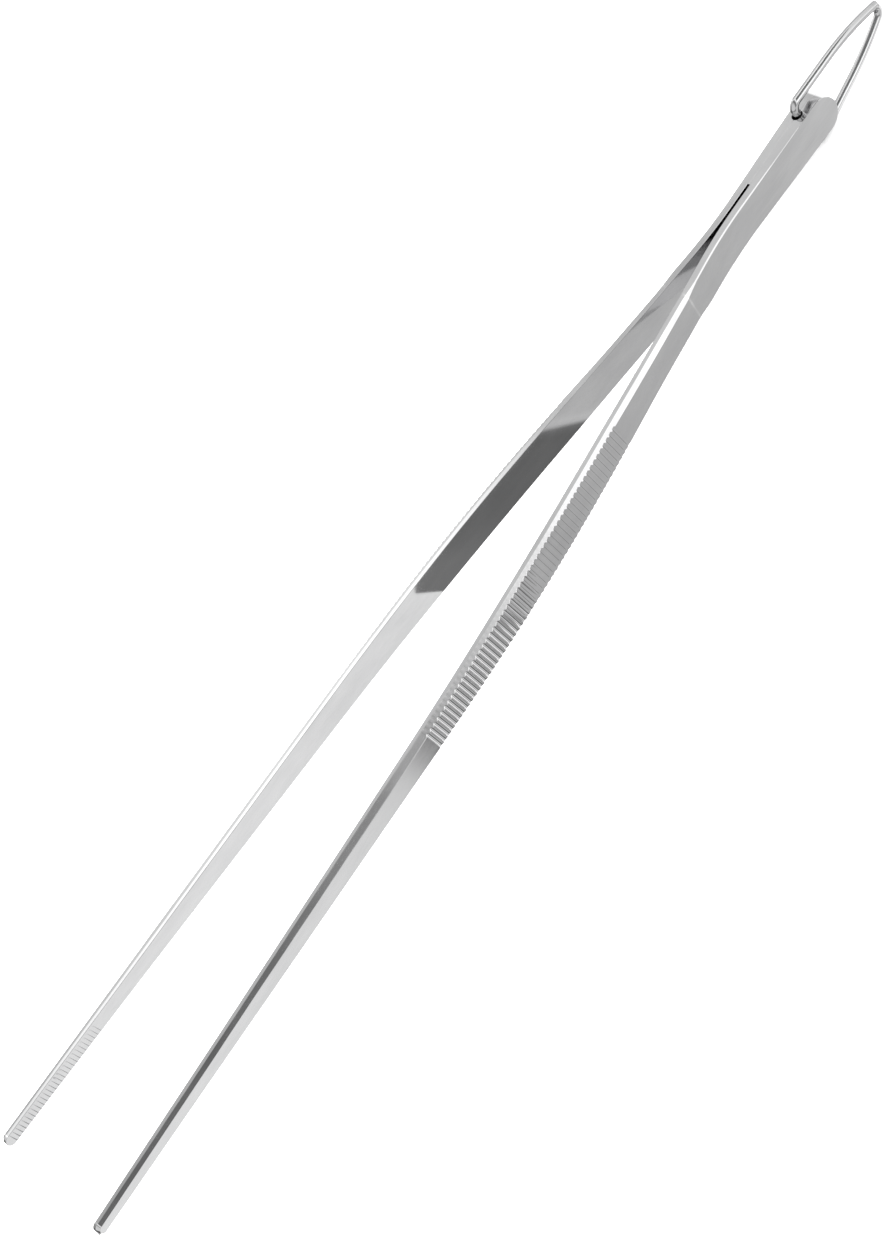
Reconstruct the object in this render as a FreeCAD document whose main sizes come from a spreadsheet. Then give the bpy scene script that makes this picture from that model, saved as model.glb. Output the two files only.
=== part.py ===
import FreeCAD, Part
import math
import os
import Sketcher

# Long straight aquascaping tweezers, lying on their side.
# Design frame: X runs from the butt end (0) to the tips, Y across the opening and
# Z across the width of the blades. Every sub-part is then moved by its Placement,
# so that the origin is the bottom centre of the whole object.

SIZES = {
    # whole tool
    "body_length": 300.0,
    # butt: two welded halves with a full-round end
    "butt_thickness": 2.45,
    "butt_end_radius": 4.68,
    "slit_start": 27.45,
    "slit_half_gap": 0.25,
    "edge_break": 0.3,
    # flexure stand-in at the root of each arm
    "flex_position": 32.0,
    "flex_half_width": 4.38,
    "knuckle_radius": 0.8,
    "knuckle_clearance": 0.03,
    # finger grip grooves, which follow the arc of the outer face
    "grip_start": 91.42,
    "grip_pitch": 1.4455,
    "grip_count": 56,
    "grip_cutter_radius": 0.6,
    "grip_depth": 0.28,
    "grip_arc_radius": 869.0,
    "grip_arc_centre_along": 209.9,
    "grip_arc_centre_below": 851.62,
    # gripping serrations on the inner faces of the tips
    "serration_start": 267.25,
    "serration_pitch": 1.1,
    "serration_count": 29,
    "serration_width": 0.6,
    "serration_depth": 0.12,
    "serration_length": 3.55,
    "serration_centre": -0.42,
    "tip_round_radius": 1.62,
    # wire hanging loop and the hole it swings in
    "hole_position": 8.2,
    "hole_radius": 1.32,
    "wire_radius": 1.04,
    "wire_end_gap": 0.25,
    "loop_corner_bend": 1.8,
    "loop_upper_corner": 7.5,
    "loop_lower_corner": 6.4,
    "loop_waist_reach": 24.0,
    "loop_upper_waist": 4.74,
    "loop_lower_waist": 4.24,
    "loop_waist_bend": 73.0,
    "loop_peak_reach": 36.58,
    "loop_peak_drop": 0.36,
    "loop_peak_bend": 1.84,
    "loop_lean_degrees": 6.3,
}

# Cross-sections of one arm. "at" is the distance from the butt end, "inner" the half
# gap between the arms, "width" the full width, "thick" the thickness, "flat" the width
# of the outer face and "side" the height of the flat side below the bevel.
STATION_FIELDS = ("at", "inner", "width", "thick", "flat", "side")
STATIONS = {
    "root": (32.15, 0.40, 8.76, 2.05, 8.16, 1.75),
    "spring": (47.0, 1.14, 8.44, 1.87, 7.84, 1.57),
    "collar": (57.0, 2.41, 8.20, 2.02, 7.60, 1.72),
    "shoulder": (57.0, 2.41, 8.20, 2.02, 6.60, 1.25),
    "waist": (75.0, 4.70, 8.20, 2.28, 6.50, 1.20),
    "grip": (95.0, 7.24, 8.60, 2.47, 7.30, 1.25),
    "belly": (118.0, 9.93, 8.80, 2.54, 7.80, 1.30),
    "palm": (145.0, 12.32, 8.30, 2.59, 7.20, 1.15),
    "heel": (178.0, 14.10, 7.05, 2.65, 5.20, 1.05),
    "blade": (240.0, 16.27, 4.77, 2.28, 3.80, 1.00),
    "nib": (300.0, 18.37, 3.16, 2.02, 2.10, 1.00),
}
SPRING_SECTIONS = ("root", "spring", "collar")
HANDLE_SECTIONS = ("shoulder", "waist", "grip", "belly", "palm", "heel")
BLADE_SECTIONS = ("heel", "blade", "nib")
SIDES = {"left": -1, "right": 1}
# how far a trimming cut runs past the solid
OVERCUT = 1.0
# how far the V cutter of the serrations stands above the face, per unit of its depth
VEE_ABOVE_FACE = 0.25
# coordinates closer than this count as equal
SAME_PLACE = 1e-4

doc = FreeCAD.newDocument("aquascaping_tweezers")
sheet = doc.addObject("Spreadsheet::Sheet", "sizes")


def fill_sheet():
    """Write every driving dimension as a plain number with an alias."""
    cells = dict(SIZES)
    for station, values in STATIONS.items():
        for field, value in zip(STATION_FIELDS, values):
            cells[f"{station}_{field}"] = value
    for row, (alias, value) in enumerate(cells.items(), start=1):
        sheet.set(f"A{row}", alias)
        sheet.set(f"B{row}", str(value))
        sheet.setAlias(f"B{row}", alias)
    doc.recompute()


def worth(formula):
    """Value of a formula in which sheet cells are written as sizes.alias."""
    return float(sheet.evalExpression(formula.replace("sizes.", "")))


def size_of(alias):
    """Plain value of one sheet cell."""
    return float(sheet.get(alias))


def new_body(name):
    body = doc.addObject("PartDesign::Body", name)
    body.Label = name
    return body


def origin_feature(body, role):
    return next(item for item in body.Origin.OriginFeatures if item.Role == role)


def new_sketch(body, name, role):
    """Sketch on one of the body's own origin planes."""
    sketch = body.newObject("Sketcher::SketchObject", name)
    sketch.AttachmentSupport = [(origin_feature(body, role), "")]
    sketch.MapMode = "FlatFace"
    return sketch


def shift_sketch(sketch, **formulas):
    """Offset a sketch from its origin plane by formulas for x, y, z and angle."""
    values = {key: worth(formula) for key, formula in formulas.items()}
    base = FreeCAD.Vector(values.get("x", 0), values.get("y", 0), values.get("z", 0))
    turn = FreeCAD.Rotation(FreeCAD.Vector(0, 0, 1), values.get("angle", 0))
    sketch.AttachmentOffset = FreeCAD.Placement(base, turn)
    for key, formula in formulas.items():
        target = "Rotation.Angle" if key == "angle" else f"Base.{key}"
        sketch.setExpression(f"AttachmentOffset.{target}", formula)


def dimension(sketch, kind, *where, formula):
    """Add one dimension and bind it to the sheet."""
    index = sketch.addConstraint(Sketcher.Constraint(kind, *where, worth(formula)))
    sketch.setExpression(f"Constraints[{index}]", formula)


def place_point(sketch, geometry, vertex, corner):
    """Dimension a point of a sketch from its origin by a pair of formulas."""
    for kind, formula in zip(("DistanceX", "DistanceY"), corner):
        dimension(sketch, kind, geometry, vertex, formula=formula)


def add_lines(sketch, corners, closed=True):
    """Chain of lines whose corners are pairs of formulas; returns the line numbers."""
    points = [FreeCAD.Vector(*(worth(f) for f in corner), 0) for corner in corners]
    ends = points[1:] + points[:1] if closed else points[1:]
    lines = [sketch.addGeometry(Part.LineSegment(a, b), False) for a, b in zip(points, ends)]
    for before, after in zip(lines, lines[1:]):
        sketch.addConstraint(Sketcher.Constraint("Coincident", before, 2, after, 1))
    if closed:
        sketch.addConstraint(Sketcher.Constraint("Coincident", lines[-1], 2, lines[0], 1))
    else:
        place_point(sketch, lines[-1], 2, corners[-1])
    for line, corner in zip(lines, corners):
        place_point(sketch, line, 1, corner)
    return lines


def add_circle(sketch, centre, radius):
    """Circle with its centre and radius bound to formulas."""
    middle = FreeCAD.Vector(*(worth(f) for f in centre), 0)
    normal = FreeCAD.Vector(0, 0, 1)
    circle = sketch.addGeometry(Part.Circle(middle, normal, worth(radius)), False)
    place_point(sketch, circle, 3, centre)
    dimension(sketch, "Radius", circle, formula=radius)


def add_end_arc(sketch, line_before, line_after, centre_x, radius, facing):
    """Half-round arc, centred on the X axis, that joins two lines of a sketch."""
    middle = FreeCAD.Vector(worth(centre_x), 0, 0)
    circle = Part.Circle(middle, FreeCAD.Vector(0, 0, 1), worth(radius))
    begin, end = (math.pi / 2, 3 * math.pi / 2) if facing < 0 else (-math.pi / 2, math.pi / 2)
    arc = sketch.addGeometry(Part.ArcOfCircle(circle, begin, end), False)
    sketch.addConstraint(Sketcher.Constraint("Coincident", line_before, 2, arc, 1))
    sketch.addConstraint(Sketcher.Constraint("Coincident", arc, 2, line_after, 1))
    dimension(sketch, "DistanceX", arc, 3, formula=centre_x)


def pad(body, name, sketch, length, reverse=False, midplane=False):
    """Raise a sketch to one side, or by half the length to each side."""
    feature = body.newObject("PartDesign::Pad", name)
    feature.Profile = sketch
    feature.SideType = "Symmetric" if midplane else "One side"
    feature.Reversed = reverse
    feature.setExpression("Length", length)
    doc.recompute()
    return feature


def pocket(body, name, sketch, length=None):
    """Cut to both sides of the sketch, right through or by a total length."""
    before = body.Shape.Volume
    feature = body.newObject("PartDesign::Pocket", name)
    feature.Profile = sketch
    feature.SideType = "Symmetric"
    if length:
        feature.setExpression("Length", length)
    else:
        feature.Type = "ThroughAll"
    doc.recompute()
    if not body.Shape.Volume < before:
        raise RuntimeError(f"{name} cuts nothing")
    return feature


def pattern(body, kind, name, cut, axis, count, **spacing):
    """Repeat a cut along or around an axis of its sketch, as the last feature."""
    before = body.Shape.Volume
    feature = body.newObject(f"PartDesign::{kind}", name)
    feature.Originals = [cut]
    setattr(feature, "Axis" if kind == "PolarPattern" else "Direction", axis)
    feature.setExpression("Occurrences", count)
    for prop, formula in spacing.items():
        feature.setExpression(prop, formula)
    body.Tip = feature
    doc.recompute()
    if not body.Shape.Volume < before:
        raise RuntimeError(f"{name} repeats nothing")
    return feature


def flex_centre(side):
    """Centre of the arm's knuckle, midway through its butt half at the slit."""
    middle = "(sizes.slit_half_gap + sizes.butt_thickness) / 2"
    return ("sizes.flex_position", f"{side} * {middle}")


def break_outer_edges(body, name, side):
    """Chamfer the rim of the flat outer face, but not its edge at the flexure."""
    outer = side * worth("sizes.butt_thickness")
    flex = worth("sizes.flex_position")
    base = body.Tip
    rim = []
    for number, edge in enumerate(base.Shape.Edges, start=1):
        on_face = all(abs(v.Y - outer) < SAME_PLACE for v in edge.Vertexes)
        at_flexure = all(abs(v.X - flex) < SAME_PLACE for v in edge.Vertexes)
        if on_face and not at_flexure:
            rim.append(f"Edge{number}")
    chamfer = body.newObject("PartDesign::Chamfer", f"{name}_edge_break")
    chamfer.Base = (base, rim)
    chamfer.setExpression("Size", "sizes.edge_break")
    body.Tip = chamfer
    doc.recompute()


def build_butt_half(name, side):
    """One half of the butt: round end, hole for the wire, slit relief and socket."""
    body = new_body(name)

    outline = new_sketch(body, f"{name}_outline", "XZ_Plane")
    lines = add_lines(outline, (
        ("sizes.butt_end_radius", "-sizes.butt_end_radius"),
        ("sizes.flex_position", "-sizes.flex_half_width"),
        ("sizes.flex_position", "sizes.flex_half_width"),
        ("sizes.butt_end_radius", "sizes.butt_end_radius"),
    ), closed=False)
    add_end_arc(outline, lines[-1], lines[0], "sizes.butt_end_radius", "sizes.butt_end_radius", -1)
    pad(body, f"{name}_plate", outline, "sizes.butt_thickness", reverse=side > 0)

    relief = new_sketch(body, f"{name}_relief", "XY_Plane")
    add_lines(relief, (
        ("sizes.slit_start", "0"),
        (f"sizes.flex_position + {OVERCUT}", "0"),
        (f"sizes.flex_position + {OVERCUT}", f"{side} * sizes.slit_half_gap"),
        ("sizes.slit_start", f"{side} * sizes.slit_half_gap"),
    ))
    pocket(body, f"{name}_slit", relief)

    socket = new_sketch(body, f"{name}_socket_circle", "XY_Plane")
    add_circle(socket, flex_centre(side), "sizes.knuckle_radius + sizes.knuckle_clearance")
    pocket(body, f"{name}_socket", socket)

    hole = new_sketch(body, f"{name}_hole_circle", "XY_Plane")
    add_circle(hole, ("sizes.hole_position", "0"), "sizes.hole_radius")
    pocket(body, f"{name}_hole", hole)

    break_outer_edges(body, name, side)
    return body


def section_sketch(body, name, station, side):
    """Six-sided cross-section of an arm: flat inside, flat sides, bevels, flat outside."""
    cell = {field: f"sizes.{station}_{field}" for field in STATION_FIELDS}
    inner = f"{side} * {cell['inner']}"
    bevel = f"{side} * ({cell['inner']} + {cell['side']})"
    outer = f"{side} * ({cell['inner']} + {cell['thick']})"
    sketch = new_sketch(body, f"{name}_{station}", "YZ_Plane")
    shift_sketch(sketch, z=cell["at"])
    add_lines(sketch, (
        (inner, f"-{cell['width']} / 2"),
        (inner, f"{cell['width']} / 2"),
        (bevel, f"{cell['width']} / 2"),
        (outer, f"{cell['flat']} / 2"),
        (outer, f"-{cell['flat']} / 2"),
        (bevel, f"-{cell['width']} / 2"),
    ))
    return sketch


def loft(body, name, stations, side, straight=False):
    """Solid through the cross-sections of an arm at several stations."""
    sections = [section_sketch(body, name, station, side) for station in stations]
    feature = body.newObject("PartDesign::AdditiveLoft", name)
    feature.Profile = sections[0]
    feature.Sections = sections[1:]
    feature.Ruled = straight
    doc.recompute()


def cut_grip_grooves(body, name, side):
    """Round-bottomed grooves across the outer face, repeated around its arc."""
    sketch = new_sketch(body, f"{name}_groove_circle", "XY_Plane")
    start = "asin((sizes.grip_arc_centre_along - sizes.grip_start) / sizes.grip_arc_radius)"
    shift_sketch(
        sketch,
        x="sizes.grip_arc_centre_along",
        y=f"{-side} * sizes.grip_arc_centre_below",
        angle=f"{side} * {start}",
    )
    reach = "sizes.grip_arc_radius + sizes.grip_cutter_radius - sizes.grip_depth"
    add_circle(sketch, ("0", f"{side} * ({reach})"), "sizes.grip_cutter_radius")
    groove = pocket(body, f"{name}_groove", sketch)
    step = "sizes.grip_pitch / sizes.grip_arc_radius * 180 / pi"
    grooves = pattern(
        body, "PolarPattern", f"{name}_grip", groove, (sketch, ["N_Axis"]), "sizes.grip_count",
        Angle=f"(sizes.grip_count - 1) * {step}",
    )
    grooves.Reversed = side > 0
    doc.recompute()


def cut_serrations(body, name, side):
    """Shallow V grooves across the inner face of the tip."""
    rise = "(sizes.nib_inner - sizes.blade_inner) / (sizes.nib_at - sizes.blade_at)"
    face = f"sizes.blade_inner + (sizes.serration_start - sizes.blade_at) * {rise}"
    sketch = new_sketch(body, f"{name}_serration_vee", "XY_Plane")
    shift_sketch(
        sketch,
        x="sizes.serration_start",
        y=f"{side} * ({face})",
        z="sizes.serration_centre",
        angle=f"{side} * atan({rise})",
    )
    above = f"{-side * VEE_ABOVE_FACE} * sizes.serration_depth"
    add_lines(sketch, (
        ("-sizes.serration_width / 2", above),
        ("sizes.serration_width / 2", above),
        ("0", f"{side} * sizes.serration_depth"),
    ))
    vee = pocket(body, f"{name}_serration", sketch, "sizes.serration_length")
    pattern(
        body, "LinearPattern", f"{name}_serrations", vee, (sketch, ["H_Axis"]),
        "sizes.serration_count",
        Length="(sizes.serration_count - 1) * sizes.serration_pitch",
    )


def round_the_tip(body, name):
    """Trim the end of the blade to a full round, seen from its outer face."""
    centre = "sizes.body_length - sizes.tip_round_radius"
    clear = f"sizes.body_length + {OVERCUT}"
    wide = f"(sizes.tip_round_radius + {OVERCUT})"
    sketch = new_sketch(body, f"{name}_tip_outline", "XZ_Plane")
    lines = add_lines(sketch, (
        (centre, "sizes.tip_round_radius"),
        (centre, wide),
        (clear, wide),
        (clear, f"-{wide}"),
        (centre, f"-{wide}"),
        (centre, "-sizes.tip_round_radius"),
    ), closed=False)
    add_end_arc(sketch, lines[-1], lines[0], centre, "sizes.tip_round_radius", 1)
    pocket(body, f"{name}_tip", sketch)


def build_arm(name, side):
    """One sprung arm, from its knuckle at the slit to the tip."""
    body = new_body(name)
    loft(body, f"{name}_spring", SPRING_SECTIONS, side)
    loft(body, f"{name}_handle", HANDLE_SECTIONS, side)
    loft(body, f"{name}_blade", BLADE_SECTIONS, side, straight=True)
    knuckle = new_sketch(body, f"{name}_knuckle_circle", "XY_Plane")
    add_circle(knuckle, flex_centre(side), "sizes.knuckle_radius")
    length = "2 * (sizes.flex_half_width - sizes.edge_break)"
    pad(body, f"{name}_knuckle", knuckle, length, midplane=True)
    round_the_tip(body, name)
    cut_grip_grooves(body, name, side)
    cut_serrations(body, name, side)
    return body


def arc_meets(sketch, arc, line):
    """Which end of an arc, 1 or 2, lies on the far end of a line."""
    end = sketch.Geometry[line].EndPoint
    return 1 if sketch.Geometry[arc].StartPoint.isEqual(end, SAME_PLACE) else 2


def add_rounded_path(sketch, corners, bends):
    """Line and arc chain through corners, each rounded by its bend radius.

    The corners are joined by construction lines, which carry the dimensions.
    """
    points = [FreeCAD.Vector(*(worth(f) for f in corner), 0) for corner in corners]
    guides = [
        sketch.addGeometry(Part.LineSegment(a, b), True) for a, b in zip(points, points[1:])
    ]
    for before, after in zip(guides, guides[1:]):
        sketch.addConstraint(Sketcher.Constraint("Coincident", before, 2, after, 1))
    for guide, corner in zip(guides, corners):
        place_point(sketch, guide, 1, corner)
    place_point(sketch, guides[-1], 2, corners[-1])

    starts, ends, middles = [points[0]], [], []
    for before, corner, after, bend in zip(points, points[1:], points[2:], bends):
        back = (before - corner).normalize()
        ahead = (after - corner).normalize()
        half = back.getAngle(ahead) / 2
        reach = worth(bend) / math.tan(half)
        bisector = (back + ahead).normalize()
        ends.append(corner + back * reach)
        middles.append(corner + bisector * (worth(bend) / math.sin(half) - worth(bend)))
        starts.append(corner + ahead * reach)
    ends.append(points[-1])
    lines = [sketch.addGeometry(Part.LineSegment(a, b), False) for a, b in zip(starts, ends)]
    arcs = [
        sketch.addGeometry(Part.Arc(a, b, c), False)
        for a, b, c in zip(ends, middles, starts[1:])
    ]
    sketch.addConstraint(Sketcher.Constraint("Coincident", lines[0], 1, guides[0], 1))
    sketch.addConstraint(Sketcher.Constraint("Coincident", lines[-1], 2, guides[-1], 2))
    for line, guide in zip(lines[:-1], guides):
        sketch.addConstraint(Sketcher.Constraint("PointOnObject", line, 2, guide))
    for line, guide in zip(lines[1:], guides[1:]):
        sketch.addConstraint(Sketcher.Constraint("PointOnObject", line, 1, guide))
    for before, arc, after, bend in zip(lines, arcs, lines[1:], bends):
        ends_meet = arc_meets(sketch, arc, before)
        sketch.addConstraint(Sketcher.Constraint("Tangent", before, 2, arc, ends_meet))
        sketch.addConstraint(Sketcher.Constraint("Tangent", arc, 3 - ends_meet, after, 1))
        dimension(sketch, "Radius", arc, formula=bend)


def build_hanging_loop():
    """Bent wire bail: both ends stand in the butt's hole, from either side."""
    body = new_body("hanging_loop")
    path = new_sketch(body, "loop_path", "XZ_Plane")
    corners = (
        ("0", "sizes.wire_end_gap"),
        ("0", "sizes.loop_upper_corner"),
        ("-sizes.loop_waist_reach", "sizes.loop_upper_waist"),
        ("-sizes.loop_peak_reach", "-sizes.loop_peak_drop"),
        ("-sizes.loop_waist_reach", "-sizes.loop_lower_waist"),
        ("0", "-sizes.loop_lower_corner"),
        ("0", "-sizes.wire_end_gap"),
    )
    side_bends = ("sizes.loop_corner_bend", "sizes.loop_waist_bend")
    bends = (*side_bends, "sizes.loop_peak_bend", *reversed(side_bends))
    add_rounded_path(path, corners, bends)
    wire = new_sketch(body, "loop_wire_section", "XY_Plane")
    shift_sketch(wire, z="sizes.wire_end_gap")
    add_circle(wire, ("0", "0"), "sizes.wire_radius")
    doc.recompute()
    pipe = body.newObject("PartDesign::AdditivePipe", "loop_wire")
    pipe.Profile = wire
    pipe.Spine = (path, [])
    doc.recompute()
    lean = FreeCAD.Rotation(FreeCAD.Vector(0, 0, 1), size_of("loop_lean_degrees"))
    body.Placement = FreeCAD.Placement(FreeCAD.Vector(size_of("hole_position"), 0, 0), lean)
    return body


def move_origin_to_bottom_centre(bodies):
    """Shift every sub-part so that the whole object's bottom centre is at zero."""
    box = FreeCAD.BoundBox()
    for body in bodies:
        box.add(body.Shape.optimalBoundingBox(False))
    shift = FreeCAD.Vector(-box.Center.x, -box.Center.y, -box.ZMin)
    for body in bodies:
        body.Placement = FreeCAD.Placement(shift, FreeCAD.Rotation()) * body.Placement
    doc.recompute()
    print("origin in the design frame", -shift)


def check_document(bodies):
    """Stop if a feature failed or a body isn't one valid solid."""
    for item in doc.Objects:
        if {"Invalid", "Error"} & set(item.State):
            raise RuntimeError(f"{item.Name} failed: {item.State}")
    for body in bodies:
        shape = body.Shape
        if shape.isNull() or not shape.isValid() or len(shape.Solids) != 1:
            raise RuntimeError(f"{body.Name} is not one valid solid")
        print(f"{body.Label}: {shape.Volume:.1f} mm3")


fill_sheet()
parts = []
for word, side in SIDES.items():
    parts.append(build_butt_half(f"{word}_butt", side))
    parts.append(build_arm(f"{word}_arm", side))
parts.append(build_hanging_loop())
move_origin_to_bottom_centre(parts)
check_document(parts)
os.makedirs("parts", exist_ok=True)
for part in parts:
    part.Shape.exportStep(f"parts/{part.Label}.step")
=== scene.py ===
import math

import bmesh
import bpy
import numpy as np
from mathutils import Matrix, Vector


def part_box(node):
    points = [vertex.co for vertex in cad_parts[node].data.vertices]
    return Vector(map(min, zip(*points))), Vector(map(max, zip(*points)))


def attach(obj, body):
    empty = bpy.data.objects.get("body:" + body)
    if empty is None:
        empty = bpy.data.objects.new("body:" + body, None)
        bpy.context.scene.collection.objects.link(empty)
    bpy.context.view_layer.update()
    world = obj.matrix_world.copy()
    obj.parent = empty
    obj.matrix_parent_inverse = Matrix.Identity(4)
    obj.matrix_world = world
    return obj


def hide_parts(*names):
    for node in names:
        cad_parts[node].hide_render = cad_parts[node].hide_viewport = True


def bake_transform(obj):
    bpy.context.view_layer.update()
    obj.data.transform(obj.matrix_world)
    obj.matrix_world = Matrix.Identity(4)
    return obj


# Long straight aquascaping tweezers with a wire hanging loop, lying on a pale floor.
# Shapes are written in millimetres along the tool: x from the butt end to the tips,
# y across the opening, z across the width of the blades. place() turns them into the
# shared frame, in metres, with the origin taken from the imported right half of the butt.

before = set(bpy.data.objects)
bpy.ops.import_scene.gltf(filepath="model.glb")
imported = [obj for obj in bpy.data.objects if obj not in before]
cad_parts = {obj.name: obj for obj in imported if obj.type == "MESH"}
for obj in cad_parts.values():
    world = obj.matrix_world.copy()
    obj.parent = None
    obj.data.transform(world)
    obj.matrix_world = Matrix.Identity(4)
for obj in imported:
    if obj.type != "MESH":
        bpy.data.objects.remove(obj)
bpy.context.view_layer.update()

MM = 0.001
BUTT_LOW, BUTT_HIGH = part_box("right_butt")
MID_HEIGHT = (BUTT_LOW.z + BUTT_HIGH.z) / 2
LENGTH = 300.0


def place(x, y, z):
    """A point of the tool, given in millimetres, in the shared frame in metres."""
    return (BUTT_LOW.x + x * MM, y * MM, MID_HEIGHT + z * MM)


# ---------------------------------------------------------------- lines of the strip

GRID_STEP = 0.05
GRID = np.arange(-5.0, LENGTH + 5.0, GRID_STEP)


def from_slopes(start, knots):
    """A line that starts at a height and whose slope runs straight between knots."""
    at, slope = zip(*knots)
    slopes = np.interp(GRID, at, slope)
    rise = np.concatenate([[0.0], np.cumsum((slopes[1:] + slopes[:-1]) / 2 * GRID_STEP)])
    heights = start + rise - np.interp(0.0, GRID, rise)
    return lambda x: np.interp(x, GRID, heights)


def through(knots, reach=9.0):
    """A line through knots, smoothed over a short reach."""
    at, value = zip(*knots)
    raw = np.interp(GRID, at, value)
    width = int(reach / GRID_STEP) | 1
    kernel = np.hanning(width + 2)[1:-1]
    padded = np.pad(raw, width // 2, mode="edge")
    smooth = np.convolve(padded, kernel / kernel.sum(), mode="valid")
    return lambda x: np.interp(x, GRID, smooth)


# distances of the inner and the outer face from the tool's middle plane, and half the width
# of the blades, each as a line along x whose slope changes at its knots
inner_line = from_slopes(
    start=0.375, knots=[(34, 0), (48, 0.127), (98, 0.127), (178, 0.035), (300, 0.035)],
)
outer_line = from_slopes(
    start=2.7625,
    knots=[(33, -0.0125), (49, 0.137), (92, 0.137), (185, 0.0293), (300, 0.0293)],
)
half_width = from_slopes(
    start=4.745,
    knots=[(22, -0.0150), (30, -0.0058), (41, -0.0058), (45, -0.0145), (82, 0.01196),
           (88, 0.01196), (148, -0.01833), (240, -0.01833), (260, -0.013)],
)
# the narrow edge break of the butt and spring, and beyond the shoulder the bevel's inset
# and the height of the flat side below it
edge_break = through([(18, 0.07), (32, 0.24), (50, 0.30)])
bevel_inset = through([(57, 0.80), (75, 0.85), (95, 0.65), (118, 0.50), (145, 0.55), (178, 0.925),
                       (240, 0.485), (300, 0.50)])
side_height = through([(57, 1.25), (75, 1.20), (118, 1.30), (145, 1.15), (178, 1.05), (240, 1.0),
                       (300, 1.0)])

BUTT_ROUND = 4.68
TIP_ROUND = 1.60
SLIT_START = 27.45
# the slit opens over this short length
SLIT_END_WALL = 0.02
# the handle begins at the shoulder, with a low step that runs slightly aslant
SHOULDER = 57.0
STEP_AT = SHOULDER + 0.5
STEP_HEIGHT = 0.05
STEP_SLANT = 0.12
STEP_SLANT_REACH = 2.5
HOLE_AT = 8.2
HOLE_RADIUS = 1.32
HOLE_MOUTH = 1.42
# lean of the flat sides, per unit of their height
DRAFT = 0.07
GRIP_START, GRIP_PITCH, GRIP_COUNT = 91.42, 1.4455, 56
GRIP_CUTTER, GRIP_DEPTH = 0.6, 0.28
CREST_SOFTNESS = 0.03
TOOTH_START, TOOTH_PITCH, TOOTH_COUNT = 267.25, 1.1, 29
TOOTH_HALF, TOOTH_DEPTH = 0.26, 0.065
# the serrations end in a narrow step and leave a plain margin along the upper edge
TOOTH_MARGIN = 1.35
MARGIN_STEP = 0.05
# extra loops of the mesh: beside an edge to keep it crisp, and beside each serration
HOLDING = 0.04
TOOTH_LOOP = 0.06


def grip_cut(x):
    """Depth of the finger grip grooves at x, with softly rounded crests. Each groove is
    what a round cutter leaves, and the crests between two grooves stay outside it."""
    index = np.clip(np.round((x - GRIP_START) / GRIP_PITCH), 0, GRIP_COUNT - 1)
    offset = np.abs(x - GRIP_START - index * GRIP_PITCH)
    centre_height = GRIP_CUTTER - GRIP_DEPTH
    inside = np.sqrt(np.maximum(GRIP_CUTTER ** 2 - offset ** 2, 0)) - centre_height
    inside = np.where(offset < GRIP_CUTTER, inside, -centre_height - offset)
    softened = (inside + np.sqrt(inside ** 2 + CREST_SOFTNESS ** 2)) / 2
    return softened * (inside > -GRIP_CUTTER / 2)


def tooth_cut(x):
    """Depth of the gripping serrations on the inner face at x."""
    index = np.clip(np.round((x - TOOTH_START) / TOOTH_PITCH), 0, TOOTH_COUNT - 1)
    offset = np.abs(x - TOOTH_START - index * TOOTH_PITCH)
    return TOOTH_DEPTH * np.clip((TOOTH_HALF - offset) / TOOTH_HALF, 0, 1)


def smooth_step(x, low, high):
    """A smooth rise from 0 at low to 1 at high."""
    share = np.clip((x - low) / (high - low), 0, 1)
    return share * share * (3 - 2 * share)


def hole_height(x, radius):
    """Half the height of a round hole of that radius at x."""
    return np.sqrt(np.maximum(radius ** 2 - (x - HOLE_AT) ** 2, 0))


def inner_face(x):
    """The inner face, on the middle plane where the halves are joined."""
    return np.where(x < SLIT_START, 0.0, inner_line(x))


def outer_face(x):
    """The outer face, with the low step where the handle begins."""
    rise = smooth_step(x, STEP_AT - 0.3, STEP_AT + 0.3)
    fall = smooth_step(x, SHOULDER + 3, SHOULDER + 20)
    return outer_line(x) + STEP_HEIGHT * rise * (1 - fall)


# ---------------------------------------------------------------- stations along the strip

ROUND_STEPS = 22
MOUTH_STEPS, BORE_STEPS = 33, 29
PLAIN_STEP = 1.5
LEAST_STEP = 0.012
# distances from a grip groove's middle, close together where its wall is steep
GROOVE_STEPS = np.array([0, 0.11, 0.22, 0.32, 0.40, 0.455, 0.49, 0.52, 0.56, 0.62, 0.74])


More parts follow.
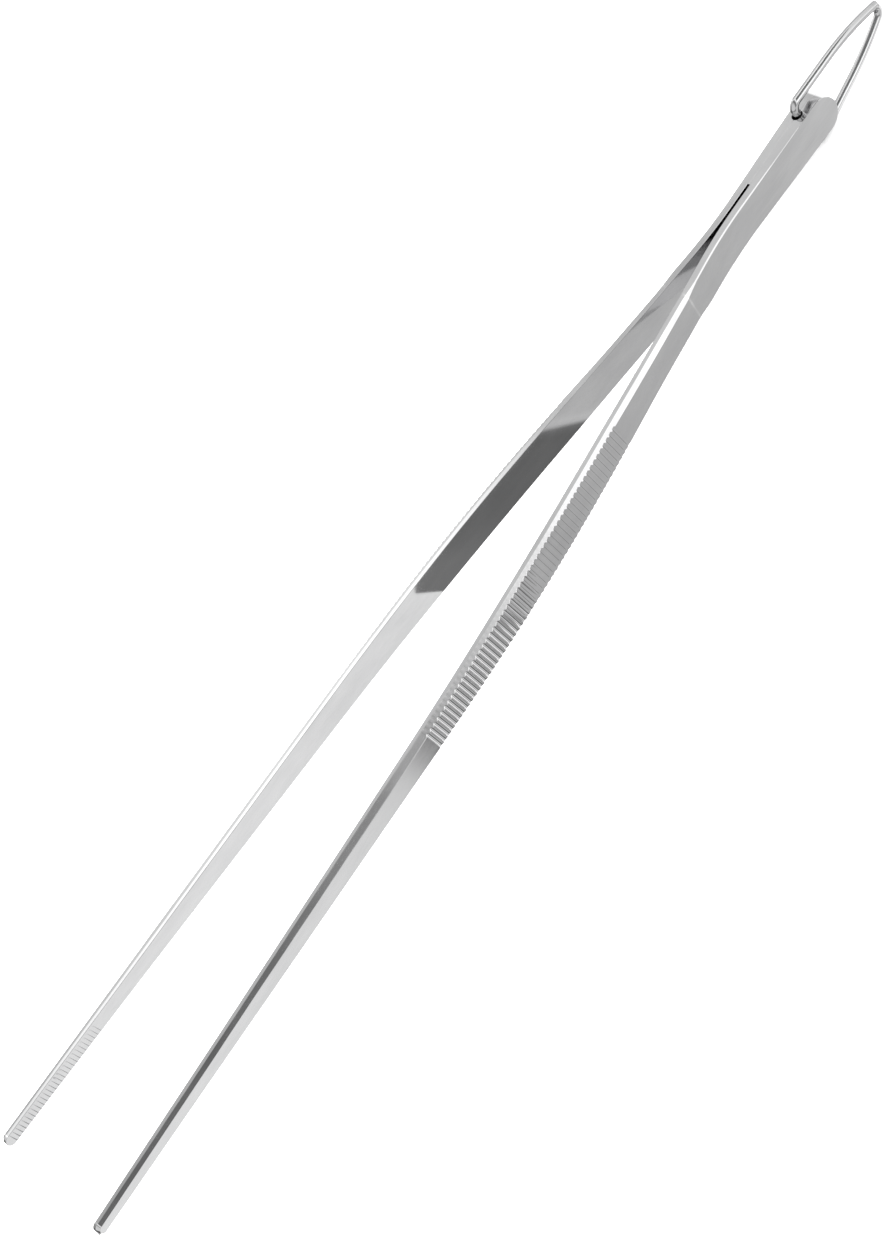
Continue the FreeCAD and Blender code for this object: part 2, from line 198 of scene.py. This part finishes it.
def along():
    """The stations along the outline: x, half width and outward normal in the x, z plane."""
    ends = np.linspace(0, math.pi / 2, ROUND_STEPS)
    butt = [(BUTT_ROUND * (1 - math.cos(a)), a) for a in ends]
    tip = [(LENGTH - TIP_ROUND * (1 - math.cos(a)), a) for a in ends[::-1]]
    xs = set()
    xs.update(np.arange(6, SHOULDER, PLAIN_STEP))
    xs.update(HOLE_AT + HOLE_MOUTH * np.cos(np.linspace(0, math.pi, MOUTH_STEPS)))
    xs.update(HOLE_AT + HOLE_RADIUS * np.cos(np.linspace(0, math.pi, BORE_STEPS)))
    xs.update([SLIT_START - SLIT_END_WALL, SLIT_START])
    xs.update(np.arange(SHOULDER - 4, SHOULDER, 0.5))
    xs.update(np.arange(SHOULDER, SHOULDER + 1.0, 0.1))
    xs.update(np.arange(SHOULDER + 1.0, SHOULDER + 3, 0.5))
    xs.update(np.arange(SHOULDER + 3, GRIP_START - 1, PLAIN_STEP))
    for k in range(GRIP_COUNT):
        centre = GRIP_START + k * GRIP_PITCH
        xs.update(centre + GROOVE_STEPS)
        xs.update(centre - GROOVE_STEPS)
    last_groove = GRIP_START + (GRIP_COUNT - 1) * GRIP_PITCH
    xs.update(np.arange(last_groove + PLAIN_STEP, TOOTH_START - 1, PLAIN_STEP))
    beside = TOOTH_HALF + TOOTH_LOOP
    for k in range(TOOTH_COUNT):
        centre = TOOTH_START + k * TOOTH_PITCH
        for step in (-beside, -TOOTH_HALF, 0, TOOTH_HALF, beside):
            xs.add(centre + step)
    low, high = BUTT_ROUND + 0.1, LENGTH - TIP_ROUND - 0.05
    kept = []
    for x in sorted(xs):
        if low < x < high and (not kept or x - kept[-1] > LEAST_STEP):
            kept.append(float(x))
    rows = []
    for x, a in butt:
        rows.append((x, BUTT_ROUND * math.sin(a), -math.cos(a), math.sin(a)))
    for x in kept:
        slope = float(half_width(x + 0.5) - half_width(x - 0.5))
        size = math.hypot(slope, 1.0)
        rows.append((x, float(half_width(x)), -slope / size, 1 / size))
    for x, a in tip:
        rows.append((x, TIP_ROUND * math.sin(a), math.cos(a), math.sin(a)))
    return np.array(rows)


# how much the inner edges are broken: where the halves are joined, along the open arms,
# and around the hole
JOINT_BREAK, ARM_BREAK, HOLE_BREAK = 0.01, 0.06, 0.12
# middle of the broken edge, as shares of its inset and height
EDGE_MIDDLE_IN, EDGE_MIDDLE_UP = 0.3, 0.35
# share of the side's lean that the foot of the side has
FOOT_LEAN = 0.03
# the soft edge between the flat side and the bevel begins and ends this far below the
# side's upper edge
SIDE_ROLL_LOW, SIDE_ROLL_HIGH = 0.14, 0.10
# the same soft edge on the bevel, and the soft edge that it ends with, both as shares of
# the bevel's inset and height
BEVEL_ROLLS = ((0.03, 0), (0.12, 0.10), (0.16, 0.14), (0.86, 0.88), (0.90, 0.92))
# the least of the bevel that a grip groove leaves, as a share
LEAST_BEVEL = 0.05
# the outer face's soft edge: inset and depth where it begins, inset where it ends
FACE_ROLL_IN, FACE_ROLL_DOWN, FACE_ROLL_END = 0.02, 0.015, 0.08
# how strongly each layer is rubbed by use
LAYER_WEAR = [0, 0.6, 1.0, 0.6, 0, 0, 0.4, 1.0, 0.4, 0, 0, 0.4, 1.0, 0.4, 0]
# the first layers run through the bore, and the next ones along the foot of the flat side
BORE_LAYERS, FOOT_LAYERS = 3, 2


def section(x):
    """Insets from the outline and heights of the layers of one cross-section, from the
    inner face over the edge, the flat side and the bevel to the outer face."""
    inner = inner_face(x)
    outer = outer_face(x)
    joined = x < SLIT_START
    soft = np.where(joined, JOINT_BREAK, ARM_BREAK)
    broad = smooth_step(x, SHOULDER - 4.5, SHOULDER + 2)
    inset = edge_break(x) * (1 - broad) + bevel_inset(x) * broad
    side = (outer - inner - edge_break(x)) * (1 - broad) + side_height(x) * broad
    top = outer - grip_cut(x)
    bevel = top - inner - side
    share = np.clip(bevel / (outer - inner - side), LEAST_BEVEL, 1)
    draft = DRAFT * side * smooth_step(x, SLIT_START, SHOULDER)
    flat = draft + (inset - draft) * share
    mouth = hole_height(x, HOLE_MOUTH)
    bore = hole_height(x, HOLE_RADIUS)
    near_hole = mouth > 0
    soft_in = np.where(near_hole, HOLE_BREAK, soft)
    floor = inner + bore
    lip = inner + np.maximum(mouth, np.where(near_hole, 0.0, soft))

    def on_side(below):
        return draft * (1 - below / side), inner + side - below

    def on_bevel(share_in, share_up):
        return draft + (flat - draft) * share_in, inner + side + bevel * share_up

    return [
        (soft_in + HOLDING, floor),
        (soft_in, floor),
        (soft_in * EDGE_MIDDLE_IN, floor + (lip - floor) * EDGE_MIDDLE_UP),
        (0 * x, lip),
        (draft * FOOT_LEAN, lip + HOLDING),
        on_side(SIDE_ROLL_LOW),
        on_side(SIDE_ROLL_HIGH),
        *(on_bevel(*shares) for shares in BEVEL_ROLLS),
        (flat + FACE_ROLL_IN, top - FACE_ROLL_DOWN),
        (flat + FACE_ROLL_END, top),
        (flat + FACE_ROLL_END + HOLDING, top),
    ]


# marks of the point attribute besides the worn edges: painted shade darkens the bore, and a
# painted highlight is a bright line along the crest of the low step
BORE_SHADE_MARK = -4.0
STEP_HIGHLIGHT_MARK, STEP_HIGHLIGHT_HALF_WIDTH = 2.0, 0.3
# share of the way to an end's centre that an inset may take
MOST_INSET = 0.98


def build_strip(name, side):
    """One half of the tweezers from the butt to the tip. side is 1 for +Y and -1 for -Y."""
    rows = along()
    x0, z0, nx, nz = rows.T
    layers = section(x0)
    count = len(rows)
    ring = []
    marks_worn_and_painted = []
    plain = np.zeros(count)
    # painted shade that darkens the bore, and a painted highlight along the crest of the low step
    bore_shade = np.where(hole_height(x0, HOLE_RADIUS) > 0, BORE_SHADE_MARK, 0.0)
    line = STEP_HIGHLIGHT_MARK * np.exp(-((x0 - STEP_AT) / STEP_HIGHLIGHT_HALF_WIDTH) ** 2)

    def mark_of(layer):
        if layer < BORE_LAYERS:
            return bore_shade
        return plain if layer < BORE_LAYERS + FOOT_LAYERS else line

    def edge_point(sign, layer, raised=0.0):
        """A line along the edge: one layer, on the upper (1) or the lower side (-1)."""
        inset, height = layers[layer]
        inset = np.minimum(inset, z0 / np.maximum(nz, 1e-6) * MOST_INSET)
        height = np.maximum(height, inner_face(x0) + raised)
        mark = mark_of(layer)
        ring.append((x0 - inset * nx, height, sign * (z0 - inset * nz)))
        marks_worn_and_painted.append(np.where(mark < 0, mark, np.maximum(LAYER_WEAR[layer], mark)))

    def half_face(layer):
        inset, _ = layers[layer]
        return np.maximum(z0 - inset * nz, 0)

    def face_point(layer, z, mark, raised=0.0):
        """A line along a face, within the layer that bounds it."""
        inset, height = layers[layer]
        ring.append((x0 - inset * nx, height + raised, z))
        marks_worn_and_painted.append(mark)

    # inner face from the lower edge to the upper one, and the plain margin, which narrows
    # with the face at the tip
    tooth = tooth_cut(x0)
    inner_half = half_face(0)
    margin = inner_half * 0.8
    for layer in range(BORE_LAYERS, -1, -1):
        edge_point(-1, layer, tooth)
    for share in (-0.6, -0.2):
        face_point(0, share * inner_half, bore_shade, tooth)
    face_point(0, np.minimum(margin, TOOTH_MARGIN - MARGIN_STEP), bore_shade, tooth)
    face_point(0, np.minimum(margin, TOOTH_MARGIN + MARGIN_STEP), bore_shade)
    # up the upper side, over the outer face and down the lower side
    for layer in range(len(layers)):
        edge_point(1, layer)
    for share in (0.6, 0.2, -0.2, -0.6):
        face_point(-1, share * half_face(-1), line)
    for layer in range(len(layers) - 1, BORE_LAYERS, -1):
        edge_point(-1, layer)

    points = np.transpose(np.array(ring), (2, 0, 1))
    near_step = np.exp(-((points[:, :, 0] - STEP_AT) / STEP_SLANT_REACH) ** 2)
    points[:, :, 0] -= STEP_SLANT * points[:, :, 2] * near_step
    total = points.shape[1]
    verts = [place(p[0], side * p[1], p[2]) for p in points.reshape(-1, 3)]
    faces = []
    for i in range(count - 1):
        for j in range(total):
            k = (j + 1) % total
            quad = (i * total + j, i * total + k, (i + 1) * total + k, (i + 1) * total + j)
            faces.append(quad if side > 0 else quad[::-1])
    worn_and_painted_values = np.array(marks_worn_and_painted).T.reshape(-1)
    return make_mesh(name, verts, faces, worn_and_painted_values)


MERGE_WITHIN, SLIVER = 2e-6, 1e-6
SHARP_ANGLE = math.radians(40)


def make_mesh(name, verts, faces, marks_worn_and_painted):
    """A closed mesh with smooth faces, sharp edges and the marks of each point: worn edges,
    painted shade and painted highlight.
    """
    mesh = bpy.data.meshes.new(name)
    mesh.from_pydata(verts, [], faces)
    attribute = mesh.attributes.new("edge_wear_and_painted_light", "FLOAT", "POINT")
    attribute.data.foreach_set("value", np.asarray(marks_worn_and_painted, np.float32))
    obj = bpy.data.objects.new(name, mesh)
    bpy.context.scene.collection.objects.link(obj)
    work = bmesh.new()
    work.from_mesh(mesh)
    bmesh.ops.remove_doubles(work, verts=work.verts, dist=MERGE_WITHIN)
    bmesh.ops.dissolve_degenerate(work, edges=work.edges, dist=SLIVER)
    bmesh.ops.recalc_face_normals(work, faces=work.faces)
    work.to_mesh(mesh)
    work.free()
    for polygon in mesh.polygons:
        polygon.use_smooth = True
    mesh.set_sharp_from_angle(angle=SHARP_ANGLE)
    return obj


# ---------------------------------------------------------------- wire loop

WIRE_RADIUS = 1.04
WIRE_SIDES = 24
# the wire's cut ends are chamfered: radius there, as a share, and length of the chamfer
END_SIZE, END_LENGTH = 0.8, 0.12
ARC_STEP, FEWEST_ARC_STEPS = 0.35, 10
LOOP_LEAN = math.radians(6.3)
# corners of the loop, (distance from the hole, z), each with its bend radius
LOOP_CORNERS = [((0.2, 0.25), 0), ((0.2, 7.5), 1.8), ((24, 4.74), 73), ((36.58, -0.36), 1.84),
                ((24, -4.24), 73), ((0.2, -6.4), 1.8), ((0.2, -0.25), 0)]


def rounded(corners):
    """Points along a run of straight lines whose corners are arcs of a given radius."""
    points = [np.array(corners[0][0], float)]
    for (a, _), (b, radius), (c, _) in zip(corners, corners[1:], corners[2:]):
        a, b, c = (np.array(p, float) for p in (a, b, c))
        u = (a - b) / np.linalg.norm(a - b)
        v = (c - b) / np.linalg.norm(c - b)
        half = math.acos(np.clip(u @ v, -1, 1)) / 2
        cut = radius / math.tan(half)
        centre = b + (u + v) / np.linalg.norm(u + v) * radius / math.sin(half)
        start, stop = b + u * cut, b + v * cut
        first = math.atan2(*(start - centre)[::-1])
        turn = math.atan2(*(stop - centre)[::-1]) - first
        turn = (turn + math.pi) % (2 * math.pi) - math.pi
        pieces = max(FEWEST_ARC_STEPS, int(abs(turn) * radius / ARC_STEP))
        for k in range(pieces + 1):
            angle = first + turn * k / pieces
            points.append(centre + radius * np.array([math.cos(angle), math.sin(angle)]))
    points.append(np.array(corners[-1][0], float))
    return np.array(points)


def loop_path():
    """The wire's middle line, leaning as the loop does at rest."""
    flat = rounded(LOOP_CORNERS)
    steps = np.linalg.norm(np.diff(flat, axis=0), axis=1)
    flat = flat[np.concatenate([[True], steps > 1e-4])]
    x = HOLE_AT - flat[:, 0] * math.cos(LOOP_LEAN)
    y = -flat[:, 0] * math.sin(LOOP_LEAN)
    return np.stack([x, y, flat[:, 1]], axis=1)


def build_wire(name):
    """A round wire along the loop's path."""
    path = loop_path()
    lean = np.array([-math.cos(LOOP_LEAN), -math.sin(LOOP_LEAN), 0.0])
    across = np.cross(lean, [0, 0, 1.0])
    tangents = np.gradient(path, axis=0)
    tangents /= np.linalg.norm(tangents, axis=1)[:, None]
    verts, faces = [], []
    rings = [(point, tangent, 1.0) for point, tangent in zip(path, tangents)]
    (head, ahead, _), (tail, behind, _) = rings[0], rings[-1]
    rings = [
        (head, ahead, END_SIZE), (head + ahead * END_LENGTH, ahead, 1.0), *rings[1:-1],
        (tail - behind * END_LENGTH, behind, 1.0), (tail, behind, END_SIZE),
    ]
    sides = WIRE_SIDES
    for point, tangent, size in rings:
        normal = np.cross(tangent, across)
        for k in range(sides):
            angle = 2 * math.pi * k / sides
            offset = across * math.cos(angle) + normal * math.sin(angle)
            verts.append(place(*(point + offset * WIRE_RADIUS * size)))
    for i in range(len(rings) - 1):
        for k in range(sides):
            n = (k + 1) % sides
            faces.append((i * sides + k, i * sides + n, (i + 1) * sides + n, (i + 1) * sides + k))
    faces.append(tuple(range(sides)))
    end = (len(rings) - 1) * sides
    faces.append(tuple(end + k for k in range(sides)))
    return make_mesh(name, verts, faces, np.zeros(len(verts)))


# ---------------------------------------------------------------- materials

def new_material(name):
    material = bpy.data.materials.new(name)
    material.use_nodes = True
    tree = material.node_tree
    tree.nodes.clear()
    output = tree.nodes.new("ShaderNodeOutputMaterial")
    shader = tree.nodes.new("ShaderNodeBsdfPrincipled")
    tree.links.new(shader.outputs["BSDF"], output.inputs["Surface"])
    return material, tree, shader


def mapped_noise(tree, source, scale, detail, turn=0.0):
    """Noise that is stretched by a scale for each axis, and turned about Z."""
    mapping = tree.nodes.new("ShaderNodeMapping")
    mapping.inputs["Scale"].default_value = scale
    mapping.inputs["Rotation"].default_value = (0, 0, turn)
    noise = tree.nodes.new("ShaderNodeTexNoise")
    noise.inputs["Scale"].default_value = 1.0
    noise.inputs["Detail"].default_value = detail
    tree.links.new(source, mapping.inputs["Vector"])
    tree.links.new(mapping.outputs["Vector"], noise.inputs["Vector"])
    return noise.outputs["Fac"]


def ranged(tree, value, low, high, to_low, to_high):
    """The value with the range low to high mapped to another range, and kept in it."""
    node = tree.nodes.new("ShaderNodeMapRange")
    node.inputs["From Min"].default_value = low
    node.inputs["From Max"].default_value = high
    node.inputs["To Min"].default_value = to_low
    node.inputs["To Max"].default_value = to_high
    tree.links.new(value, node.inputs["Value"])
    return node.outputs["Result"]


def calc(tree, kind, a, b):
    """A sum, product or the like of two values, each a number or a socket."""
    node = tree.nodes.new("ShaderNodeMath")
    node.operation = kind
    for socket, value in zip(node.inputs, (a, b)):
        if isinstance(value, (int, float)):
            socket.default_value = value
        else:
            tree.links.new(value, socket)
    return node.outputs["Value"]


def ramp_node(tree, value, low, high, stops):
    """A grey ramp of brightness over value, with stops as (value, brightness)."""
    position = ranged(tree, value, low, high, 0, 1)
    ramp = tree.nodes.new("ShaderNodeValToRGB")
    elements = ramp.color_ramp.elements
    while len(elements) < len(stops):
        elements.new(0.5)
    for element, (at, bright) in zip(elements, stops):
        element.position = (at - low) / (high - low)
        element.color = (bright, bright, bright, 1)
    tree.links.new(position, ramp.inputs["Fac"])
    return ramp.outputs["Color"]


def mixed(tree, fac, a, b):
    """Colour a where fac is 0 and colour b where it is 1."""
    node = tree.nodes.new("ShaderNodeMix")
    node.data_type = "RGBA"
    tree.links.new(fac, node.inputs[0])
    tree.links.new(a, node.inputs[6])
    tree.links.new(b, node.inputs[7])
    return node.outputs[2]


def step(tree, value, zero_at, one_at):
    """A smooth change from 0 to 1 between two values, in either order."""
    node = tree.nodes.new("ShaderNodeMapRange")
    node.interpolation_type = "SMOOTHSTEP"
    rising = zero_at < one_at
    node.inputs["From Min"].default_value = min(zero_at, one_at)
    node.inputs["From Max"].default_value = max(zero_at, one_at)
    node.inputs["To Min"].default_value = 0.0 if rising else 1.0
    node.inputs["To Max"].default_value = 1.0 if rising else 0.0
    tree.links.new(value, node.inputs["Value"])
    return node.outputs["Result"]


# place of the dark colour on the ramp, at tone 0: only the painted shade of the bore goes below
# it, down to the darkest colour
DARK_AT = 0.3
BORE_SHADE_DARKEST = (0.03, 0.03, 0.03)


def steel(name, dark, light, smooth, rough, grain):
    """Ground and polished stainless steel: lengthwise grinding lines, cloudy polish, fine
    scratches, edges worn brighter, painted shade in the bore and a painted highlight along the
    crest of the low step."""
    material, tree, shader = new_material(name)
    coordinates = tree.nodes.new("ShaderNodeTexCoord").outputs["Object"]
    lines = mapped_noise(tree, coordinates, (60, 9000, 9000), 3)
    clouds = mapped_noise(tree, coordinates, (90, 260, 260), 4)
    scratches = mapped_noise(tree, coordinates, (700, 14000, 14000), 2, turn=0.12)
    scratched = ranged(tree, scratches, 0.66, 0.74, 0, 1)
    # the point marks: worn edges, painted shade of the bore below zero, and the painted highlight
    # of the step
    worn_and_painted_node = tree.nodes.new("ShaderNodeAttribute")
    worn_and_painted_node.attribute_name = "edge_wear_and_painted_light"
    patchy = ranged(tree, clouds, 0.35, 0.65, 0.2, 1)
    worn_and_painted_rub = calc(tree, "MULTIPLY", worn_and_painted_node.outputs["Fac"], patchy)

    ramp = tree.nodes.new("ShaderNodeValToRGB")
    ramp.color_ramp.elements[0].color = (*BORE_SHADE_DARKEST, 1)
    ramp.color_ramp.elements[1].color = (*light, 1)
    ramp.color_ramp.elements.new(DARK_AT).color = (*dark, 1)
    cloud_tone = ranged(tree, clouds, 0.3, 0.7, 0.05, 0.25)
    tone = calc(tree, "ADD", cloud_tone, calc(tree, "MULTIPLY", worn_and_painted_rub, 0.35))
    tone = calc(tree, "ADD", tone, ranged(tree, lines, 0.3, 0.7, -0.05, 0.05))
    deepest_tone = -DARK_AT / (1 - DARK_AT)
    tree.links.new(ranged(tree, tone, deepest_tone, 1, 0, 1), ramp.inputs["Fac"])
    tree.links.new(ramp.outputs["Color"], shader.inputs["Base Color"])

    cloud_roughness = ranged(tree, clouds, 0.3, 0.7, smooth, rough)
    worn_and_highlight = calc(tree, "MAXIMUM", worn_and_painted_rub, 0)
    roughness = calc(tree, "ADD", cloud_roughness, calc(tree, "MULTIPLY", worn_and_highlight, 0.06))
    roughness = calc(tree, "ADD", roughness, calc(tree, "MULTIPLY", scratched, 0.1))
    tree.links.new(roughness, shader.inputs["Roughness"])
    shader.inputs["Metallic"].default_value = 1.0
    bump = tree.nodes.new("ShaderNodeBump")
    bump.inputs["Strength"].default_value = grain
    bump.inputs["Distance"].default_value = 0.00001
    relief = calc(tree, "SUBTRACT", lines, calc(tree, "MULTIPLY", scratched, 0.6))
    tree.links.new(relief, bump.inputs["Height"])
    tree.links.new(bump.outputs["Normal"], shader.inputs["Normal"])
    return material


# bright colour of worn edges and of the painted highlight along the crest of the low step
WORN_AND_HIGHLIGHT_BRIGHT = (0.84, 0.84, 0.84)
blade_steel = steel("blade_steel", dark=(0.58, 0.58, 0.585), light=WORN_AND_HIGHLIGHT_BRIGHT,
                    smooth=0.05, rough=0.12, grain=0.25)
wire_steel = steel("wire_steel", dark=(0.56, 0.56, 0.565), light=WORN_AND_HIGHLIGHT_BRIGHT,
                   smooth=0.08, rough=0.16, grain=0.35)

# ---------------------------------------------------------------- pieces

for side_name, side in (("left", -1), ("right", 1)):
    strip = build_strip(side_name + "_strip", side)
    strip.data.materials.append(blade_steel)
    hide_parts(side_name + "_butt", side_name + "_arm")
    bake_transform(strip)

wire = build_wire("wire_loop")
wire.data.materials.append(wire_steel)
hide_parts("hanging_loop")
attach(wire, "hanging_loop")

# ---------------------------------------------------------------- stage, light, camera

FLOOR_REACH = 3.0
FLOOR_CORNERS = [(-FLOOR_REACH, -FLOOR_REACH, 0), (FLOOR_REACH, -FLOOR_REACH, 0),
                 (FLOOR_REACH, FLOOR_REACH, 0), (-FLOOR_REACH, FLOOR_REACH, 0)]


def build_floor():
    """A plain pale floor, which the steel doesn't reflect."""
    material, tree, shader = new_material("pale_floor")
    coordinates = tree.nodes.new("ShaderNodeTexCoord").outputs["Object"]
    mottle = mapped_noise(tree, coordinates, (30, 30, 30), 3)
    tone = tree.nodes.new("ShaderNodeValToRGB")
    tone.color_ramp.elements[0].color = (0.86, 0.86, 0.86, 1)
    tone.color_ramp.elements[1].color = (0.88, 0.88, 0.88, 1)
    tree.links.new(mottle, tone.inputs["Fac"])
    tree.links.new(tone.outputs["Color"], shader.inputs["Base Color"])
    shader.inputs["Roughness"].default_value = 0.9
    shader.inputs["Specular IOR Level"].default_value = 0.0
    mesh = bpy.data.meshes.new("floor")
    mesh.from_pydata(FLOOR_CORNERS, [], [(0, 1, 2, 3)])
    floor = bpy.data.objects.new("floor", mesh)
    bpy.context.scene.collection.objects.link(floor)
    mesh.materials.append(material)
    floor.visible_glossy = False


build_floor()

# a card's brightness is given over this stretch along the tool
CARD_FROM, CARD_TO = -120, 320
JUST_ABOVE_FLOOR = 0.5 - MID_HEIGHT / MM


def reflector(name, outline, stops, slant=0.0, height=JUST_ABOVE_FLOOR):
    """A glowing card that only the steel sees, a painted reflection. outline is a list of points
    (x, y) in millimetres and stops give its brightness along x, or along x - slant * y. height is
    its height above the middle of the tool."""
    material = bpy.data.materials.new(name)
    material.use_nodes = True
    tree = material.node_tree
    tree.nodes.clear()
    output = tree.nodes.new("ShaderNodeOutputMaterial")
    glow = tree.nodes.new("ShaderNodeEmission")
    split = tree.nodes.new("ShaderNodeSeparateXYZ")
    tree.links.new(tree.nodes.new("ShaderNodeTexCoord").outputs["Object"], split.inputs[0])
    aside = calc(tree, "MULTIPLY", split.outputs["Y"], slant)
    slanted = calc(tree, "SUBTRACT", split.outputs["X"], aside)
    along_x = calc(tree, "MULTIPLY_ADD", slanted, 1 / MM)
    along_x.node.inputs[2].default_value = -BUTT_LOW.x / MM
    brightness = ramp_node(tree, along_x, CARD_FROM, CARD_TO, stops)
    tree.links.new(brightness, glow.inputs["Color"])
    tree.links.new(glow.outputs[0], output.inputs["Surface"])
    mesh = bpy.data.meshes.new(name)
    corners = [place(x, y, height) for x, y in outline]
    mesh.from_pydata(corners, [], [tuple(range(len(corners)))])
    card = bpy.data.objects.new(name, mesh)
    bpy.context.scene.collection.objects.link(card)
    mesh.materials.append(material)
    card.visible_camera = False
    card.visible_diffuse = False
    card.visible_shadow = False
    card.visible_transmission = False


# Brightness of the studio as the steel reflects it, over the x part of the direction, with
# one list for each region: low is below the horizon, under is steeply down on the far side
# (-Y), top is overhead, and the last three are high, lower and nearly level on the far side.
LOW_STOPS = [
    (-1, 1.5), (-0.43, 1.5), (-0.36, 0.6), (-0.30, 0.25), (-0.26, 0.25), (-0.22, 0.40),
    (-0.17, 0.43), (-0.125, 0.36), (-0.105, 0.27), (-0.0915, 0.5), (-0.0757, 0.88),
    (-0.053, 1.0), (-0.037, 1.04), (0.025, 1.08), (0.055, 1.14), (0.22, 1.13), (0.28, 0.5),
    (0.4, 0.10), (1, 0.10),
]
UNDER_STOPS = [(-1, 1.2), (-0.4, 1.2), (-0.28, 0.4), (1, 0.4)]
TOP_STOPS = [
    (-1, 0.5), (-0.5, 1.7), (-0.20, 1.6), (-0.15, 1.25), (-0.115, 1.05), (-0.085, 0.90),
    (-0.065, 0.72), (-0.035, 0.54), (-0.015, 0.36), (0.03, 0.30), (0.08, 0.19), (0.17, 0.18),
    (0.3, 0.5), (0.5, 0.9), (1, 0.9),
]
FAR_HIGH_STOPS = [
    (-1, 0.5), (-0.3, 0.87), (-0.16, 0.87), (-0.137, 0.77), (-0.05, 0.80), (0.0, 0.82),
    (0.03, 0.75), (0.09, 0.72), (0.165, 0.58), (1, 0.3),
]
FAR_LOW_STOPS = [
    (-1, 1.5), (-0.72, 1.5), (-0.62, 0.9), (-0.5, 0.68), (-0.25, 0.66), (-0.18, 0.80),
    (-0.155, 1.15), (-0.115, 1.55), (-0.05, 1.90), (0.03, 1.95), (0.09, 1.62), (0.165, 1.28),
    (0.3, 1.0), (1, 0.6),
]
FAR_LEVEL_STOPS = [
    (-1, 1.5), (-0.6, 1.5), (-0.25, 0.64), (-0.2, 0.72), (-0.12, 1.02), (-0.08, 1.12),
    (0.0, 1.10), (0.07, 0.98), (0.15, 0.60), (1, 0.5),
]
FLOOR_LIGHT = 3.0


def build_world():
    """Even white light on the floor, and for what the steel reflects a studio whose
    brightness depends on the direction."""
    world = bpy.data.worlds.new("studio")
    bpy.context.scene.world = world
    world.use_nodes = True
    tree = world.node_tree
    tree.nodes.clear()
    output = tree.nodes.new("ShaderNodeOutputWorld")
    even = tree.nodes.new("ShaderNodeBackground")
    even.inputs["Color"].default_value = (1, 1, 1, 1)
    even.inputs["Strength"].default_value = FLOOR_LIGHT
    studio = tree.nodes.new("ShaderNodeBackground")
    path = tree.nodes.new("ShaderNodeLightPath")
    choose = tree.nodes.new("ShaderNodeMixShader")
    tree.links.new(path.outputs["Is Glossy Ray"], choose.inputs["Fac"])
    tree.links.new(even.outputs[0], choose.inputs[1])
    tree.links.new(studio.outputs[0], choose.inputs[2])
    tree.links.new(choose.outputs[0], output.inputs["Surface"])
    split = tree.nodes.new("ShaderNodeSeparateXYZ")
    tree.links.new(tree.nodes.new("ShaderNodeTexCoord").outputs["Generated"], split.inputs[0])
    rx, ry, rz = split.outputs
    low = ramp_node(tree, rx, -1, 1, LOW_STOPS)
    under = ramp_node(tree, rx, -1, 1, UNDER_STOPS)
    top = ramp_node(tree, rx, -1, 1, TOP_STOPS)
    far_low = ramp_node(tree, rx, -1, 1, FAR_LOW_STOPS)
    far_high = ramp_node(tree, rx, -1, 1, FAR_HIGH_STOPS)
    far_level = ramp_node(tree, rx, -1, 1, FAR_LEVEL_STOPS)
    steep = calc(tree, "MULTIPLY", step(tree, ry, 0.6, 0.1), step(tree, rz, -0.45, -0.6))
    lower = mixed(tree, steep, low, under)
    far = mixed(tree, step(tree, ry, -0.74, -0.66), far_low, far_high)
    upper = mixed(tree, step(tree, ry, -0.45, -0.2), far, top)
    whole = mixed(tree, step(tree, rz, -0.12, 0.12), lower, upper)
    flat = calc(tree, "MULTIPLY", step(tree, ry, -0.83, -0.90), step(tree, rz, -0.6, -0.45))
    tree.links.new(mixed(tree, flat, whole, far_level), studio.inputs["Color"])


build_world()
# the cards are painted reflections and lie beside the right arm, between the arms, under the left
# arm at the slit, and above the end of the loop; the dark part of the card between the arms is
# painted shade that stands for the floor's shadow there
reflector("card_beside",
          [(-60, 3.5), (30, 3.5), (98, 4), (118, 2.5), (134, 1.5), (140, 60), (-60, 60)],
          [(-60, 0.80), (0, 0.80), (25, 0.70), (50, 0.66), (90, 0.64), (118, 0.58), (128, 0.62),
           (140, 0.62)])
reflector("card_between",
          [(34, 0.3), (60, 0.1), (68, -1.3), (68, -12), (98, -14), (140, -11), (146, -3),
           (143, 1), (118, 2.5), (98, 4), (30, 3.5)],
          [(34, 0.66), (89, 0.66), (92, 0.70), (94, 0.80), (95.4, 0.66), (96.4, 0.24), (99, 0.185),
           (128, 0.20), (141, 0.25)], slant=1.2)
reflector("card_under", [(34, -12), (34, 0.3), (60, 0.1), (68, -1.3), (68, -12)],
          [(34, 0.35), (44, 0.45), (51, 0.9), (57, 1.0)])
reflector("card_above", [(-110, -5), (-20, 0), (-20, 110), (-110, 120)], [(-110, 0.2), (0, 0.2)],
          height=90)

CAMERA_AT = place(197.896, 442.144, 461.728)
CAMERA_RIGHT = (-0.579062, 0.613174, -0.537312)
CAMERA_DOWN = (0.812971, 0.384671, -0.437158)
CAMERA_LENS = 83.40
CAMERA_SHIFT = (0.01534, 0.03903)


def build_camera():
    """A camera at the photograph's viewing angle."""
    data = bpy.data.cameras.new("camera")
    camera = bpy.data.objects.new("camera", data)
    bpy.context.scene.collection.objects.link(camera)
    right = Vector(CAMERA_RIGHT).normalized()
    up = -Vector(CAMERA_DOWN)
    up = (up - right * up.dot(right)).normalized()
    back = right.cross(up)
    turned = Matrix((right, up, back)).transposed().to_4x4()
    camera.matrix_world = Matrix.Translation(CAMERA_AT) @ turned
    data.sensor_width = 36.0
    data.lens = CAMERA_LENS
    data.shift_x, data.shift_y = CAMERA_SHIFT
    data.clip_start = 0.01
    data.clip_end = 20
    bpy.context.scene.camera = camera


build_camera()
bpy.context.scene.view_settings.view_transform = "Standard"
